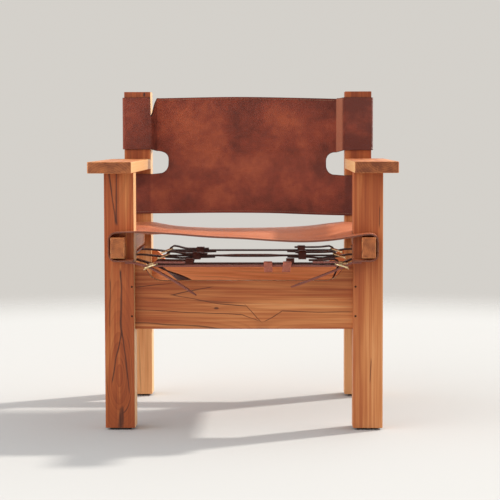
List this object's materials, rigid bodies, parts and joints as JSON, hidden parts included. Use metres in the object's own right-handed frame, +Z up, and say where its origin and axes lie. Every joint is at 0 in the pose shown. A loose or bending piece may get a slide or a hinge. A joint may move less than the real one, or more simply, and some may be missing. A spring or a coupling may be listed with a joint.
{
  "type": "armchair",
  "caption": "Solid wood armchair with flat arms, through-tenoned side rails, scooped boards and seat and back slings of saddle leather drawn tight by buckled straps.",
  "frame": {"origin": "on the floor, under the middle of the whole chair", "axes": "+Z up, -Y to the front where the sitter faces, +X to the right seen from the front"},
  "size_m": [0.7, 0.6587, 0.788],
  "materials": {
    "oiled_wood": "oiled, satin",
    "dark_peg": "dark end grain",
    "saddle_leather": "waxed, mottled",
    "strap_leather": "waxed",
    "brass": "worn",
    "black_rubber": "matte",
    "nail_steel": "plain"
  },
  "bodies": {
    "chair": {"arm_dowels": "oiled_wood", "armrest_left": "oiled_wood", "armrest_right": "oiled_wood", "back_keepers": "strap_leather", "back_lower_buckle": "brass", "back_lower_strap": "strap_leather", "back_lower_tab": "strap_leather", "back_sling": "saddle_leather", "back_upper_buckle": "brass", "back_upper_strap": "strap_leather", "back_upper_tab": "strap_leather", "board_pegs": "dark_peg", "front_board": "oiled_wood", "front_leg_left": "oiled_wood", "front_leg_right": "oiled_wood", "glide_nails": "nail_steel", "glides": "black_rubber", "rail_pegs": "oiled_wood", "rear_board": "oiled_wood", "rear_post_left": "oiled_wood", "rear_post_right": "oiled_wood", "seat_front_left_buckle": "brass", "seat_front_left_tab": "strap_leather", "seat_front_right_buckle": "brass", "seat_front_right_tab": "strap_leather", "seat_front_strap": "strap_leather", "seat_keepers": "strap_leather", "seat_middle_left_buckle": "brass", "seat_middle_left_tab": "strap_leather", "seat_middle_right_buckle": "brass", "seat_middle_right_tab": "strap_leather", "seat_middle_strap": "strap_leather", "seat_rear_left_buckle": "brass", "seat_rear_left_tab": "strap_leather", "seat_rear_right_buckle": "brass", "seat_rear_right_tab": "strap_leather", "seat_rear_strap": "strap_leather", "seat_second_left_buckle": "brass", "seat_second_left_tab": "strap_leather", "seat_second_right_buckle": "brass", "seat_second_right_tab": "strap_leather", "seat_second_strap": "strap_leather", "seat_sling": "saddle_leather", "side_rail_left": "oiled_wood", "side_rail_right": "oiled_wood"},
    "seat_front_left_prong": {"seat_front_left_prong": "brass"},
    "seat_front_right_prong": {"seat_front_right_prong": "brass"},
    "seat_second_left_prong": {"seat_second_left_prong": "brass"},
    "seat_second_right_prong": {"seat_second_right_prong": "brass"},
    "seat_middle_left_prong": {"seat_middle_left_prong": "brass"},
    "seat_middle_right_prong": {"seat_middle_right_prong": "brass"},
    "seat_rear_left_prong": {"seat_rear_left_prong": "brass"},
    "seat_rear_right_prong": {"seat_rear_right_prong": "brass"},
    "back_upper_prong": {"back_upper_prong": "brass"},
    "back_lower_prong": {"back_lower_prong": "brass"}
  },
  "joints": [
    {"name": "seat_front_left_hinge", "type": "hinge", "parent": "chair", "child": "seat_front_left_prong", "pos_m": [-0.198, -0.29644, 0.3838], "axis": [0, -1, 0], "range_deg": [0, 20]},
    {"name": "seat_front_right_hinge", "type": "hinge", "parent": "chair", "child": "seat_front_right_prong", "pos_m": [0.211, -0.29644, 0.3838], "axis": [0, 1, 0], "range_deg": [0, 20]},
    {"name": "seat_second_left_hinge", "type": "hinge", "parent": "chair", "child": "seat_second_left_prong", "pos_m": [-0.2, -0.19444, 0.3815], "axis": [0, -1, 0], "range_deg": [0, 20]},
    {"name": "seat_second_right_hinge", "type": "hinge", "parent": "chair", "child": "seat_second_right_prong", "pos_m": [0.214, -0.19444, 0.3815], "axis": [0, 1, 0], "range_deg": [0, 20]},
    {"name": "seat_middle_left_hinge", "type": "hinge", "parent": "chair", "child": "seat_middle_left_prong", "pos_m": [-0.187, -0.02444, 0.3885], "axis": [0, -1, 0], "range_deg": [0, 20]},
    {"name": "seat_middle_right_hinge", "type": "hinge", "parent": "chair", "child": "seat_middle_right_prong", "pos_m": [0.214, -0.02444, 0.3885], "axis": [0, 1, 0], "range_deg": [0, 20]},
    {"name": "seat_rear_left_hinge", "type": "hinge", "parent": "chair", "child": "seat_rear_left_prong", "pos_m": [-0.192, 0.17556, 0.3885], "axis": [0, -1, 0], "range_deg": [0, 20]},
    {"name": "seat_rear_right_hinge", "type": "hinge", "parent": "chair", "child": "seat_rear_right_prong", "pos_m": [0.214, 0.17556, 0.3885], "axis": [0, 1, 0], "range_deg": [0, 20]},
    {"name": "back_upper_hinge", "type": "hinge", "parent": "chair", "child": "back_upper_prong", "pos_m": [0.206, 0.31556, 0.551], "axis": [0, 0, 1], "range_deg": [0, 20]},
    {"name": "back_lower_hinge", "type": "hinge", "parent": "chair", "child": "back_lower_prong", "pos_m": [0.206, 0.31556, 0.5], "axis": [0, 0, 1], "range_deg": [0, 20]}
  ]
}
